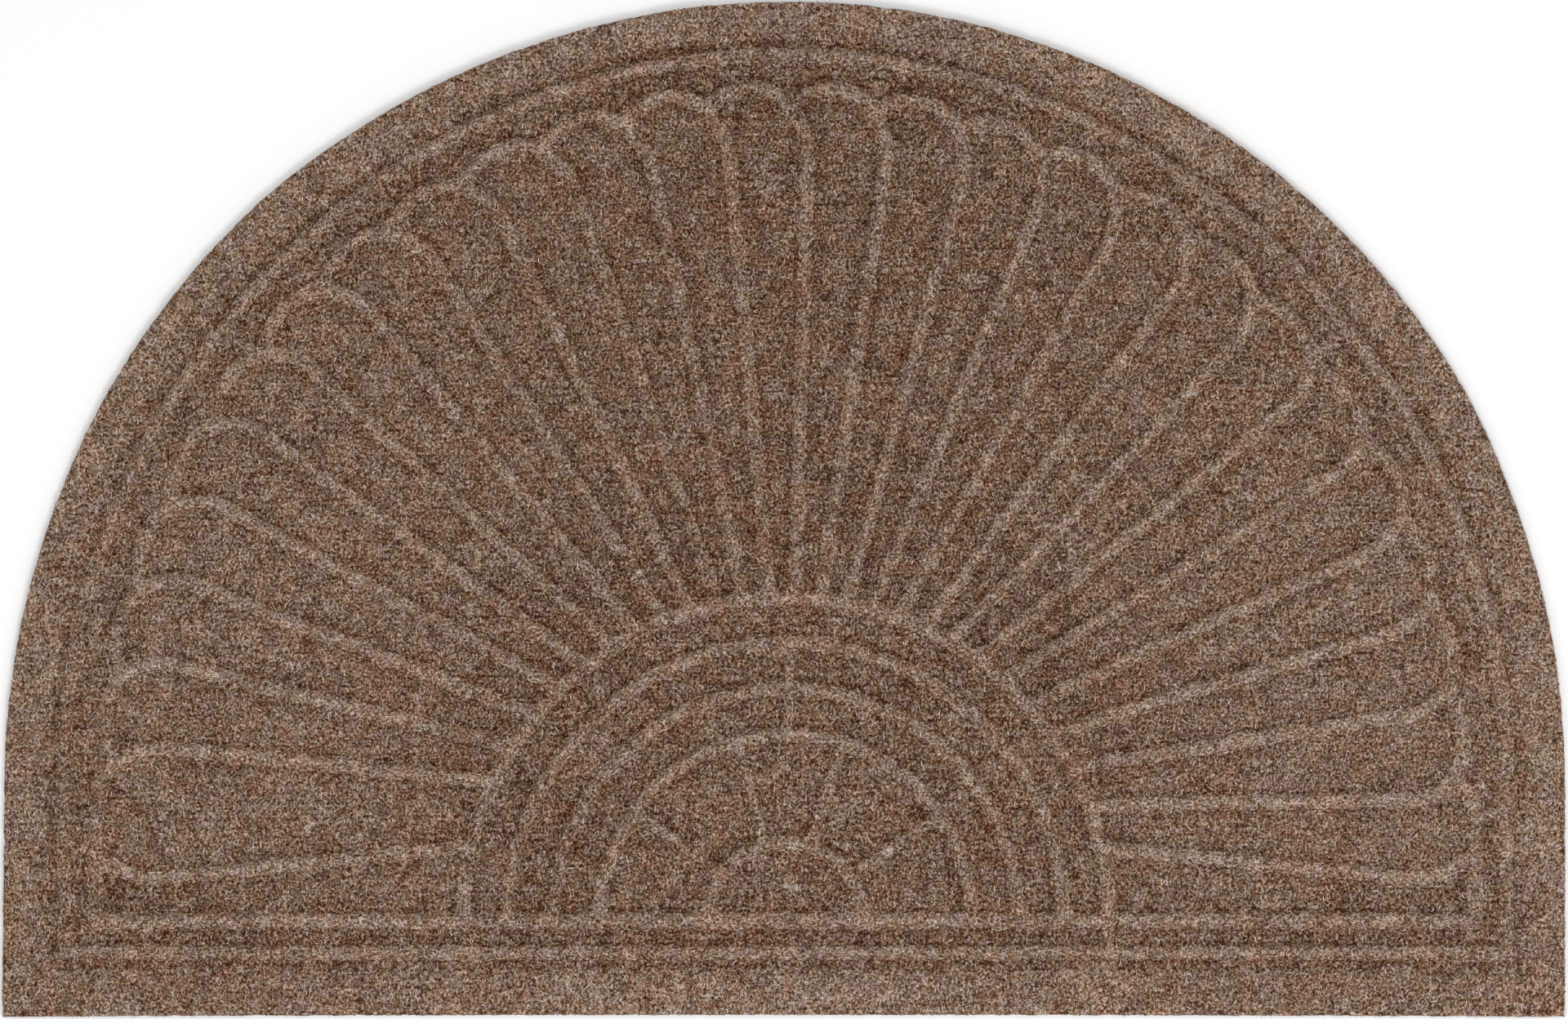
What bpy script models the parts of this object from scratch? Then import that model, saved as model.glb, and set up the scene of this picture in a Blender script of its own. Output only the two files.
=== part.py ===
"""Half-round doormat: one moulded sheet of needled fibre.

The mat lies flat, its straight edge towards -Y and its pattern upwards. The pattern is a
fanlight of ribs raised in the top face: a frame, a fan of petals with rounded tips, and
nested arches that stand on the frame's lower rail. The underside is plain and flat.
"""
import math

import bmesh
import bpy
import numpy as np
from mathutils import Vector
from mathutils.geometry import delaunay_2d_cdt

# The sheet, in metres
WIDTH = 0.914  # along the straight edge
STRAIGHT_SIDE = 0.1373  # from the straight edge up to the foot of the dome
DOME_SHIFT = 0.0012  # how far the dome was cut to the right of the pattern's middle
EDGE_BOW = 0.0011  # how far the straight edge draws in at its middle
CORNER_CUT = 0.0006  # the corners at the ends of the straight edge are barely rubbed
FLOOR = 0.0064  # the sheet's thickness at the feet of the ribs
EDGE_DROP = 0.0012  # how much lower the cut edge is than the floor
EDGE_ROUND = 0.0022  # how far in from the cut edge that drop starts
DOME_STEPS = 60  # straight steps round the dome's cut edge
EDGE_STEPS = 8  # straight steps along the straight edge

# The ribs, in metres
RIB_HEIGHT = 0.0026  # from the floor to the crest
FAINT_HEIGHT = 0.0014  # of the spokes and short bars, which are pressed less deep
RIB_WIDTH = 0.0084  # foot to foot
RAIL_WIDTH = 0.0096  # of the lower rail, the widest rib
BAR_WIDTH = 0.0068  # of the spokes and short bars
CREST_SHARE = 0.5  # the crest's width as a share of the foot's
PETAL_PILLOW = 0.0009  # how far the middle of a petal swells above the floor
PILLOW_END = 0.3800  # the outer end of the swell, from the middle of the dome
PILLOW_TURN = 0.6  # degrees that it follows its petal's tip round
PILLOW_SHORT = 0.0105  # how far inside the shoulders it starts to turn
LOWEST_PILLOW = -0.0250  # where the lowest petals swell, up from the middle of the dome
LOWEST_PILLOW_ENDS = (0.2500, 0.3650, 0.3850)  # metres across
GROOVE_DEPTH = 0.0012  # of the groove round the outside of the frame
GROOVE_CENTRE = 0.0068  # the groove's bottom, out from the middle of the frame's rib
GROOVE_REACH = 0.0034  # from the groove's bottom to its banks

# The fan's petals, with places measured from the middle of the dome
PETAL_RAYS = 25  # ribs between petals, right to left
FIRST_RAY = -1.54  # degrees, at the shoulders
RAY_STEP = 7.436  # degrees from one shoulder to the next
RAY_SWING = 1.03  # degrees, how far the shoulders crowd towards the sides of the dome
RAY_AIM = Vector((0.0030, -0.0173))  # the point that every ray comes from
PETAL_LIFT = 0.0081  # how much further out the tips reach at the top of the dome
# One petal's tip, from the shoulder of its ray round to the next ray:
# degrees on from the shoulder, metres out from the middle of the dome
PETAL_TIP = (
    (0.0, 0.3655),
    (0.3, 0.3774),
    (1.7, 0.3908),
    (3.4, 0.3968),
    (5.6, 0.3985),
    (7.8, 0.3956),
    (9.2, 0.3916),
)
TIP_BEND = 2  # the row above where the last petal's tip lands
TIP_STEPS = 2  # straight steps from each row to the next
# The lowest rib on either side: metres across, metres up from the middle of the dome
LOWEST_RAY = (
    (0.1870, -0.0380),
    (0.3670, -0.0565),
    (0.3820, -0.0540),
    (0.3915, -0.0490),
    (0.4030, -0.0415),
)

# The frame and the arches
FRAME_MIDDLE = Vector((0.0009, 0.0))
FRAME_RADIUS = 0.4220
FRAME_LIFT = 0.0032  # how much further out the frame reaches at the top of the dome
FRAME_FOOT = -0.1002  # the frame's bottom rib, up from the middle of the dome
FRAME_STEPS = 48  # straight steps round the frame's arch
RAIL = -0.0811  # the lower rail that the arches stand on
RAIL_HALF = 0.4030  # half the rail's length
POST_TOP = -0.0200  # where the posts on the rail's ends start to lean in
POST_LEAN = 0.0034
ARCH_CENTRE = Vector((0.0014, RAIL))
ARCH_RADII = (0.1892, 0.1628, 0.1362, 0.1092, 0.0459)
ARCH_STEPS = (26, 24, 22, 20, 14)
SPOKES = (34.3, 72.0, 105.1, 144.3)  # degrees, from the least arch to the next
CENTRE_BAR = 89.3  # degrees, from the next arch out to the second largest
FRAME_BARS = (  # degrees round the dome, metres out to the inner end
    (-2.6, RAIL_HALF),
    (38.8, 0.3960),
    (141.0, 0.3960),
    (182.8, RAIL_HALF),
)
RAIL_BARS = (-0.3713, 0.1894)  # metres across, from the rail down to the frame

# How far the dome's cut edge strays from a true half circle: degrees, metres
EDGE_STRAY = (
    (0.0, -0.0012),
    (19.0, -0.0006),
    (31.0, 0.0014),
    (48.0, 0.0008),
    (62.0, 0.0002),
    (78.0, 0.0000),
    (94.0, -0.0005),
    (109.0, -0.0011),
    (121.0, -0.0006),
    (133.0, 0.0010),
    (148.0, 0.0005),
    (163.0, -0.0004),
    (180.0, -0.0001),
)

MERGE = 0.0002  # points nearer than this become one
FIBRE_BROWN = (0.196, 0.128, 0.092, 1.0)
FIBRE_ROUGHNESS = 0.95


def polar(centre, radius, degrees):
    turn = math.radians(degrees)
    return centre + Vector((math.cos(turn), math.sin(turn))) * radius


def arc(centre, radius, start, end, steps):
    return [polar(centre, radius, start + (end - start) * i / steps) for i in range(steps + 1)]


def stray_at(degrees):
    """The cut edge's stray at this angle, eased from one row of the table to the next."""
    for (before, low), (after, high) in zip(EDGE_STRAY, EDGE_STRAY[1:]):
        if degrees <= after:
            share = (degrees - before) / (after - before)
            ease = (1 - math.cos(math.pi * share)) / 2
            return low + (high - low) * ease
    return EDGE_STRAY[-1][1]


def sheet_outline():
    """The cut edge, anticlockwise from the right-hand end of the straight edge."""
    half = WIDTH / 2
    middle = Vector((DOME_SHIFT, 0.0))
    points = [Vector((half, -STRAIGHT_SIDE + CORNER_CUT))]
    for i in range(DOME_STEPS + 1):
        degrees = 180 * i / DOME_STEPS
        points.append(polar(middle, half + stray_at(degrees), degrees))
    points.append(Vector((-half, -STRAIGHT_SIDE + CORNER_CUT)))
    for i in range(EDGE_STEPS + 1):
        share = i / EDGE_STEPS
        bow = EDGE_BOW * math.sin(math.pi * share)
        points.append(Vector(((half - CORNER_CUT) * (2 * share - 1), -STRAIGHT_SIDE + bow)))
    return points


def smooth_through(points, steps):
    """A smooth curve through the points, with this many steps from each to the next."""
    ends = [2 * points[0] - points[1]] + points + [2 * points[-1] - points[-2]]
    curve = []
    for a, b, c, d in zip(ends, ends[1:], ends[2:], ends[3:]):
        for i in range(steps):
            t = i / steps
            pull = (c - a) * t + (2 * a - 5 * b + 4 * c - d) * t**2 + (3 * b - a - 3 * c + d) * t**3
            curve.append(b + pull / 2)
    return curve + [points[-1]]


def sideways(points, distance, closed=False):
    """The line moved sideways to its left by a distance, with mitred corners."""
    moved = []
    last = len(points) - 1
    for i, point in enumerate(points):
        before = points[i - 1] if i > 0 or closed else None
        after = points[(i + 1) % len(points)] if i < last or closed else None
        ahead = (after - point).normalized() if after is not None else (point - before).normalized()
        behind = (point - before).normalized() if before is not None else ahead
        left = Vector((-ahead.y - behind.y, ahead.x + behind.x)).normalized()
        mitre = max(left.dot(Vector((-ahead.y, ahead.x))), 0.5)
        moved.append(point + left * distance / mitre)
    return moved


class Rib:
    """One raised rib: the line it follows, how wide its foot is and how high its crest."""

    def __init__(self, points, width=RIB_WIDTH, height=RIB_HEIGHT, closed=False):
        self.points = points
        self.width = width
        self.height = height
        self.closed = closed

    def edges(self):
        """The two foot lines and the two crest lines."""
        foot = self.width / 2
        crest = foot * CREST_SHARE
        return [sideways(self.points, side, self.closed) for side in (-foot, -crest, crest, foot)]


def shoulder_angle(ray):
    even = FIRST_RAY + RAY_STEP * ray
    return even + RAY_SWING * math.sin(math.radians(2 * even))


def ray_foot(shoulder):
    """Where the straight ray through this shoulder springs from the largest arch."""
    along = (shoulder - RAY_AIM).normalized()
    start = RAY_AIM - ARCH_CENTRE
    reach = along.dot(start)
    out = -reach + math.sqrt(reach**2 - start.length_squared + ARCH_RADII[0] ** 2)
    return RAY_AIM + along * out


def tip_knots(ray):
    """The places that the tip of this ray's petal passes through."""
    middle = Vector((0.0, 0.0))
    base = shoulder_angle(ray)
    lift = PETAL_LIFT * math.sin(math.radians(base + RAY_STEP / 2)) ** 2
    low = PETAL_TIP[0][1]
    high = max(radius for _, radius in PETAL_TIP)
    stretch = (shoulder_angle(ray + 1) - base) / RAY_STEP
    knots = []
    for degrees, radius in PETAL_TIP:
        raised = radius + lift * ((radius - low) / (high - low)) ** 2
        knots.append(polar(middle, raised, base + degrees * stretch))
    return knots


def petal_rib(ray):
    """A ray that runs straight out and bends over its petal's tip to the next ray."""
    knots = tip_knots(ray)
    if ray == PETAL_RAYS - 1:
        knots = knots[: TIP_BEND + 1]
    return Rib([ray_foot(knots[0])] + smooth_through(knots, TIP_STEPS))


def lowest_rib(side):
    return Rib([Vector((side * across, up)) for across, up in LOWEST_RAY])


def frame_rib():
    """The frame's outer rib, a closed loop round the whole pattern."""
    points = [FRAME_MIDDLE + Vector((side * FRAME_RADIUS, FRAME_FOOT)) for side in (-1, 1)]
    for i in range(FRAME_STEPS + 1):
        degrees = 180 * i / FRAME_STEPS
        lift = FRAME_LIFT * math.sin(math.radians(degrees)) ** 3
        points.append(polar(FRAME_MIDDLE, FRAME_RADIUS + lift, degrees))
    return Rib(points, closed=True)


def post_rib(side):
    """A post from the end of the lower rail, which leans in to the bend of the nearest ray."""
    bend = tip_knots(0 if side > 0 else PETAL_RAYS - 1)[TIP_BEND]
    foot = FRAME_MIDDLE + Vector((side * RAIL_HALF, RAIL))
    post_top = Vector((foot.x, POST_TOP))
    lean = Vector((foot.x - side * POST_LEAN, POST_TOP + 0.7 * (bend.y - POST_TOP)))
    return Rib([foot] + smooth_through([post_top, lean, bend], TIP_STEPS))


def rail_rib():
    ends = [FRAME_MIDDLE + Vector((side * RAIL_HALF, RAIL)) for side in (-1, 1)]
    return Rib(ends, RAIL_WIDTH)


def arch_ribs():
    return [Rib(arc(ARCH_CENTRE, r, 0, 180, n)) for r, n in zip(ARCH_RADII, ARCH_STEPS)]


def bar_ribs():
    """Spokes in the least arch and the short bars, which are fainter than the rest."""
    _, outer, _, inner, least = ARCH_RADII
    bars = [(ARCH_CENTRE, least, inner, degrees) for degrees in SPOKES]
    bars.append((ARCH_CENTRE, inner, outer, CENTRE_BAR))
    bars += [(FRAME_MIDDLE, start, FRAME_RADIUS, degrees) for degrees, start in FRAME_BARS]
    lines = [[polar(centre, low, a), polar(centre, high, a)] for centre, low, high, a in bars]
    lines += [[Vector((x, RAIL)), Vector((x, FRAME_FOOT))] for x in RAIL_BARS]
    return [Rib(line, BAR_WIDTH, FAINT_HEIGHT) for line in lines]


def petal_middles():
    """Lines down the middles of the petals, where they swell."""
    middle = Vector((0.0, 0.0))
    lines = [[Vector((side * x, LOWEST_PILLOW)) for x in LOWEST_PILLOW_ENDS] for side in (1, -1)]
    for ray in range(PETAL_RAYS - 1):
        between = (shoulder_angle(ray) + shoulder_angle(ray + 1)) / 2
        outer = polar(middle, PILLOW_END, between + PILLOW_TURN)
        shoulder = polar(middle, PETAL_TIP[0][1] - PILLOW_SHORT, between)
        foot = ray_foot(shoulder)
        lines.append([foot.lerp(shoulder, 0.18), foot.lerp(shoulder, 0.6), shoulder, outer])
    return lines


def distances(points, line, closed=False):
    """Each point's distance from the nearest stretch of the line."""
    start = np.array([p[:] for p in line])
    end = np.roll(start, -1, axis=0)
    if not closed:
        start, end = start[:-1], end[:-1]
    nearest = np.full(len(points), np.inf)
    for a, b in zip(start, end):
        run = b - a
        share = np.clip((points - a) @ run / (run @ run), 0, 1)
        gap = np.linalg.norm(points - a - share[:, None] * run, axis=1)
        nearest = np.minimum(nearest, gap)
    return nearest


def heights(points, outline, ribs, middles, frame):
    """The top face's height above the underside at each point."""
    rise = np.zeros(len(points))
    for line in middles:
        rise[distances(points, line) < MERGE] = PETAL_PILLOW
    groove = distances(points, frame_groove(frame), closed=True)
    rise -= GROOVE_DEPTH * np.clip(1 - groove / GROOVE_REACH, 0, 1)
    edge = distances(points, outline, closed=True)
    rise -= EDGE_DROP * np.clip(1 - edge / EDGE_ROUND, 0, 1)
    for rib in ribs:
        foot = rib.width / 2
        crest = foot * CREST_SHARE
        slope = (foot - distances(points, rib.points, rib.closed)) / (foot - crest)
        rise = np.maximum(rise, rib.height * np.clip(slope, 0, 1) - (slope <= 0))
    return FLOOR + rise


def frame_groove(frame):
    return sideways(frame.points, -GROOVE_CENTRE, closed=True)


def top_face(outline, ribs, middles, frame):
    """Points and triangles of the top face, with edges along every rib, groove and swell."""
    points, edges = [], []

    def add_line(line, closed=False):
        first = len(points)
        points.extend(line)
        edges.extend((i, i + 1) for i in range(first, len(points) - 1))
        if closed:
            edges.append((len(points) - 1, first))

    add_line(outline, closed=True)
    add_line(sideways(outline, EDGE_ROUND, closed=True), closed=True)
    for rib in ribs:
        for line in rib.edges():
            add_line(line, rib.closed)
    for reach in (0.0, GROOVE_REACH):
        add_line(sideways(frame.points, -GROOVE_CENTRE - reach, closed=True), closed=True)
    for line in middles:
        add_line(line)
    inside_only = 1
    flat, _, triangles, *_ = delaunay_2d_cdt(points, edges, [], inside_only, MERGE)
    level = heights(np.array([p[:] for p in flat]), outline, ribs, middles, frame)
    return [(p.x, p.y, z) for p, z in zip(flat, level)], triangles


def build_sheet():
    """The mat as one closed solid: the top face, its cut edge and a flat underside."""
    frame = frame_rib()
    ribs = [frame, rail_rib(), post_rib(1), post_rib(-1), lowest_rib(1), lowest_rib(-1)]
    ribs += [petal_rib(ray) for ray in range(PETAL_RAYS)] + arch_ribs() + bar_ribs()
    points, triangles = top_face(sheet_outline(), ribs, petal_middles(), frame)

    sheet = bmesh.new()
    corners = [sheet.verts.new(point) for point in points]
    for triangle in triangles:
        sheet.faces.new([corners[i] for i in triangle])
    rim = [edge for edge in sheet.edges if edge.is_boundary]
    wall = bmesh.ops.extrude_edge_only(sheet, edges=rim)["geom"]
    for corner in (g for g in wall if isinstance(g, bmesh.types.BMVert)):
        corner.co.z = 0.0
    foot = [g for g in wall if isinstance(g, bmesh.types.BMEdge) and g.is_boundary]
    bmesh.ops.contextual_create(sheet, geom=foot)
    centre_on_origin(sheet)
    bmesh.ops.recalc_face_normals(sheet, faces=sheet.faces)
    mesh = bpy.data.meshes.new("mat")
    sheet.to_mesh(mesh)
    sheet.free()
    return mesh


def centre_on_origin(sheet):
    """Puts the middle of the sheet's bounding box over the origin."""
    xs = [v.co.x for v in sheet.verts]
    ys = [v.co.y for v in sheet.verts]
    middle = Vector(((min(xs) + max(xs)) / 2, (min(ys) + max(ys)) / 2, 0.0))
    bmesh.ops.translate(sheet, vec=-middle, verts=sheet.verts)


def fibre_material():
    material = bpy.data.materials.new("brown_fibre")
    material.use_nodes = True
    shader = material.node_tree.nodes["Principled BSDF"]
    shader.inputs["Base Color"].default_value = FIBRE_BROWN
    shader.inputs["Roughness"].default_value = FIBRE_ROUGHNESS
    shader.inputs["Metallic"].default_value = 0.0
    material.diffuse_color = FIBRE_BROWN
    return material


def build():
    for item in list(bpy.data.objects):
        bpy.data.objects.remove(item, do_unlink=True)
    parts = bpy.data.collections.new("half_round_doormat")
    bpy.context.scene.collection.children.link(parts)
    mat = bpy.data.objects.new("mat", build_sheet())
    mat.data.materials.append(fibre_material())
    mat.data.shade_smooth()
    mat.data.set_sharp_from_angle(angle=math.radians(40))
    parts.objects.link(mat)


build()
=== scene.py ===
# %% [markdown]
# # A half-round doormat of needled fibre
#
# The mat is one sheet of brown fibre, 9 mm thick at its ribs. A heated plate has pressed a
# fanlight into its pile: the ribs kept their height, and the fields between them were pushed
# down. The plain solid mat is loaded first. It is never moved or changed, and what follows
# dresses it: a felt body with soft ribs, then the fibres of the pile.

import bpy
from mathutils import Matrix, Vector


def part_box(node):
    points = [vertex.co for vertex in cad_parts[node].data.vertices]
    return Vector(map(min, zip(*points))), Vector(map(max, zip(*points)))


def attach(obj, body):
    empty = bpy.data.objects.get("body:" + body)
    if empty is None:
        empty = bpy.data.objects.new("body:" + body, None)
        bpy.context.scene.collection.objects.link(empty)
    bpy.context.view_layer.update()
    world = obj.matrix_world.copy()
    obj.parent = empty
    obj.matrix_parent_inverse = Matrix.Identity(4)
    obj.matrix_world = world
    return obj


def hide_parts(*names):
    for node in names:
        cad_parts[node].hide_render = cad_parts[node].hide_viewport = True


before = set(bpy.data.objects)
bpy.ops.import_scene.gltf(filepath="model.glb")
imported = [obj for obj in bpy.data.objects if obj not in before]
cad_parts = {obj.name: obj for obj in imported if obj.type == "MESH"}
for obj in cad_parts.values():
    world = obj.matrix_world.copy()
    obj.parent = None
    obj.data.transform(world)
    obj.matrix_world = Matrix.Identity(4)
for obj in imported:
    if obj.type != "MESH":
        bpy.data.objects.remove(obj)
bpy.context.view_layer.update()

# %% Tools for the steps below
import math

import bmesh
import bpy
import numpy as np
from mathutils import Vector
from mathutils.bvhtree import BVHTree
from mathutils.kdtree import KDTree

scene = bpy.context.scene

# %% [markdown]
# ## The relief, read from the solid
#
# Felt and fibres both have to follow the same ribs. Their lines could be drawn again here,
# but then they might miss the solid's. So rays are dropped on the solid from above, one for
# each square millimetre, and the heights go into a raster. A second raster says where the mat
# is.

# %% Drop rays on the solid
RASTER_STEP = 0.001
MARGIN = 0.012  # how far the raster reaches past the mat

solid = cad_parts["mat"].data
solid_tree = BVHTree.FromPolygons(
    [v.co[:] for v in solid.vertices], [p.vertices[:] for p in solid.polygons]
)
low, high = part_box("mat")
raster_x = np.arange(low.x - MARGIN, high.x + MARGIN, RASTER_STEP)
raster_y = np.arange(low.y - MARGIN, high.y + MARGIN, RASTER_STEP)
down = Vector((0, 0, -1))


def drop_rays(ys, xs):
    """The solid's height under each place, and nothing (nan) beside it."""
    level = np.full((len(ys), len(xs)), np.nan)
    for j, y in enumerate(ys):
        for i, x in enumerate(xs):
            hit = solid_tree.ray_cast(Vector((x, y, 1)), down)[0]
            if hit is not None:
                level[j, i] = hit.z
    return level


solid_level = drop_rays(raster_y, raster_x)
on_mat = np.isfinite(solid_level).astype(float)
print("raster", solid_level.shape, "mat covers", round(on_mat.sum() * RASTER_STEP**2, 4), "m2")

# %% [markdown]
# A bell-shaped blur softens a raster. It is done with a Fourier transform, because there it
# is a single multiplication. Near the edge the blur may only use places on the mat, so it is
# divided by the blur of the mat's own raster.

# %% Blur and read a raster
def blurred(field, reach):
    """The field smoothed with a bell curve of this reach in metres."""
    waves_y = np.fft.fftfreq(field.shape[0], RASTER_STEP)[:, None]
    waves_x = np.fft.rfftfreq(field.shape[1], RASTER_STEP)[None, :]
    bell = np.exp(-2 * (np.pi * reach) ** 2 * (waves_y**2 + waves_x**2))
    return np.fft.irfft2(np.fft.rfft2(field) * bell, field.shape)


def blurred_on_mat(field, reach):
    weight = np.maximum(blurred(on_mat, reach), 0.02)
    return blurred(np.nan_to_num(field) * on_mat, reach) / weight


def read_at(field, points):
    """The field's value at each point, blended from the four nearest places."""
    across = np.clip((points[..., 0] - raster_x[0]) / RASTER_STEP, 0, len(raster_x) - 1.001)
    up = np.clip((points[..., 1] - raster_y[0]) / RASTER_STEP, 0, len(raster_y) - 1.001)
    i, j = across.astype(int), up.astype(int)
    right, above = across - i, up - j
    near = field[j, i] * (1 - right) + field[j, i + 1] * right
    far = field[j + 1, i] * (1 - right) + field[j + 1, i + 1] * right
    return near * (1 - above) + far * above


# %% [markdown]
# ## Where the plate pressed
#
# On the real mat the pressed fields are darker than the ribs, because their fibres lie flat
# and closed. Beside each rib the plate's corner has pressed a narrow crease, and the shade in it
# is painted as a darker colour. The zones could be drawn again, but they can also be told apart
# by height: what stands above the floor is a rib, and what lies below it is the groove.
#
# The pale crest of a rib ends sharply. So for each place the distance to the nearest rib's
# edge is kept, from which a sharp step can be made later at any fineness. It comes from the
# blurred rib: across a straight edge the logarithm of its odds grows evenly with distance.

# %% Ribs and the creases beside them
FLOOR = 0.0064  # the sheet's thickness between the ribs
PETAL_PILLOW = 0.0009  # how far the middle of a petal swells
FAINT_RISE = 0.0005  # from there to the top of the spokes and short bars, the faintest ribs
FULL_RISE = 0.0014  # from there to a height that only the other ribs have
RIB_BLUR = 0.0015
ODDS_SLOPE = 1.65  # of a bell curve's sum, for one width of the bell
CREST_START = -0.0014  # the crest starts this far outside the rib's edge
CREST_RAMP = 0.001
CREASE_REACH = 0.0037
CREASE_GAIN = 2.4  # so that the painted shade in the crease beside a single rib is full
SWELL_GAP = 0.002  # the swell of a petal ends about this far from a rib
SWELL_GAIN = 4  # so that the swell is quite gone at the rib's edge

height = np.nan_to_num(solid_level, nan=FLOOR)
above_petals = height - FLOOR - PETAL_PILLOW
rib = np.clip(above_petals / FAINT_RISE, 0, 1) * on_mat
full_rib = np.clip(above_petals / FULL_RISE, 0, 1) * on_mat
rib_share = np.clip(blurred(rib, RIB_BLUR), 0.002, 0.998)
rib_reach = RIB_BLUR / ODDS_SLOPE * np.log(rib_share / (1 - rib_share))
crest = np.clip((rib_reach - CREST_START) / CREST_RAMP, 0, 1)
# the crease beside each rib: the felt dips there, and its colour gets painted shade
crease = np.clip(CREASE_GAIN * blurred(rib, CREASE_REACH) * (1 - crest), 0, 1)
pillow = np.clip((height - FLOOR) / PETAL_PILLOW, 0, 1) * on_mat
pillow *= 1 - np.clip(SWELL_GAIN * blurred(rib, SWELL_GAP), 0, 1)
print("ribs cover", round(float((rib > 0.5).sum()) * RASTER_STEP**2, 4), "m2")

# %% [markdown]
# The lamp stands on the side of the straight edge. So beyond the far side of a level rib a
# dark line of painted shadow is added, almost a line, and an upright rib has none. The near
# side of a rib gets more of the lamp, so there its fibre is painted less pale, as painted shade.
# Upright ribs get less of the lamp than level ones, so their crests are painted less pale, least
# pale of all those at the two sides. The spokes and short bars are less pale too, because the
# plate has pressed them less deep.

# %% Which way the ribs run
FAR_SHADOW_PLACE = -0.0033  # the middle of the painted shadow line, from the rib's edge
FAR_SHADOW_WIDTH = 0.0025
UPRIGHT_LOSS = 0.25  # painted light: this share of an upright rib's pale crest is taken away, in the middle
SIDE_LOSS = 0.45  # more of it towards the mat's sides
LEFT_LOSS = 0.10
NEAR_LOSS = 0.25  # painted shade on the near side of a rib, which gets more of the lamp
ROUND_LOSS = 0.3  # at a rib's edge, beside its middle
RIB_MIDDLE = 0.0036  # in from the edge
FAINT_LOSS = 0.35  # of the pale crest, for a rib without any height
SLOPE_REACH = 0.003  # a rib's direction is taken over this much of it
FLAT = 0.02  # a slope that hardly counts as one

slope_y, slope_x = np.gradient(rib_share)
steepness = np.hypot(slope_x, slope_y)
far_side = np.clip(-slope_y / (steepness + 1e-5), 0, 1)
# painted shadow: a dark line beyond the far side of a level rib, away from the lamp; the felt also
# dips a little along it
far_crease_and_shadow = np.clip(1 - np.abs(rib_reach - FAR_SHADOW_PLACE) / FAR_SHADOW_WIDTH, 0, 1) * far_side
upright = blurred(slope_x**2, SLOPE_REACH) / (blurred(steepness**2, SLOPE_REACH) + 1e-4)
aside = raster_x[None, :] / high.x
# painted light: the lamp lights level ribs more than upright ones, so upright crests are painted
# weaker, more at the sides and most on the left
rib_strength = 1 - upright * (UPRIGHT_LOSS + SIDE_LOSS * aside**4 - LEFT_LOSS * aside)
# painted shade on the near side of a rib, against the lamp's light there
rib_strength -= NEAR_LOSS * np.clip(slope_y / (steepness + FLAT), 0, 1)
rib_strength *= 1 - ROUND_LOSS * (1 - np.clip(rib_reach / RIB_MIDDLE, 0, 1))
rib_strength *= 1 - FAINT_LOSS * (1 - np.clip(blurred(full_rib, RIB_BLUR) / rib_share, 0, 1))
print("rib strength from", round(float(rib_strength[rib > 0.5].min()), 2))

# %% [markdown]
# A shallow groove runs along the outer side of the frame's rib, and beyond it lies the
# border. Each gets a zone of its own, because the groove is darker than the fields, and the
# border is paler than them although it is no higher. The border's zone starts as a thin strip
# along the cut edge and grows over open ground only, one raster step at a time, as paint is
# spread up to a line.

# %% The groove round the frame, and the border beyond it
GROOVE_DEPTH = 0.0012
EDGE_ZONE = 0.008  # in from the cut edge, where the solid's edge slopes down
EDGE_SHARE = 0.97  # of the blurred mat, where that zone ends
OPEN_RISE = 0.0004  # what stands less than this above the floor is open ground
BORDER_STEPS = 60  # that the border's zone grows, more than it is wide
BORDER_SOFTNESS = 0.002
BORDER_RAMP = 0.0075  # the border grows paler outwards over about twice this
OUTER_LOSS = 0.15  # of the pale crest, where the border is near
OUTER_GAIN = 3  # so that the loss is already full on the frame's rib

inner = blurred(on_mat, EDGE_ZONE / 2) > EDGE_SHARE
groove = np.clip((FLOOR - height) / GROOVE_DEPTH, 0, 1) * inner

open_ground = (height < FLOOR + OPEN_RISE) & (on_mat > 0)
border = ~inner & (on_mat > 0)
for _ in range(BORDER_STEPS):
    grown = border.copy()
    grown[1:] |= border[:-1]
    grown[:-1] |= border[1:]
    grown[:, 1:] |= border[:, :-1]
    grown[:, :-1] |= border[:, 1:]
    border = grown & open_ground | border
border = blurred_on_mat(border * (groove < 0.1) * 1.0, BORDER_SOFTNESS)
border_near = np.clip(OUTER_GAIN * blurred_on_mat(border, BORDER_RAMP), 0, 1)
rib_strength *= 1 - OUTER_LOSS * border_near
print("the border covers", round(float((border > 0.5).sum()) * RASTER_STEP**2, 4), "m2")

# %% [markdown]
# ## Shade and hue of the fibre
#
# The yarn is heathered: dark, tan, grey and beige fibres are carded together, and they never
# mix evenly. So there are clouds of lighter and darker fibre of every size, from one tuft to
# a hand's width, and weaker clouds of rosy, olive and rusty brown. White noise blurred by
# several reaches makes such clouds.

# %% Clouds in the fibre
SHADE_CLOUDS = ((0.0015, 0.044), (0.0035, 0.013), (0.008, 0.004), (0.022, 0.003))
HUE_CLOUDS = ((0.0016, 0.2), (0.004, 0.11), (0.010, 0.06))  # reach in metres, then strength

random = np.random.default_rng(36)


def clouds(reach):
    """Random clouds of about this size, with a spread of 1."""
    field = blurred(random.standard_normal(on_mat.shape), reach)
    return field / field.std()


shade = sum(strength * clouds(reach) for reach, strength in SHADE_CLOUDS)
hue_shift = sum(strength * clouds(reach) for reach, strength in HUE_CLOUDS)
print("clouds: shade strays by", round(float(shade.std()), 3), "and hue by",
      round(float(hue_shift.std()), 3))

# %% [markdown]
# The shade then adds what the plate did. Its unit is the place on the colour ramp of the
# fibres, from 0, darkest, to 1, palest. Where ribs crowd together the plate has pressed
# hardest, so there the fields are darker. The petals at the sides are a little paler than
# those at the top, except at their foot, and so is the fan.

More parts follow.
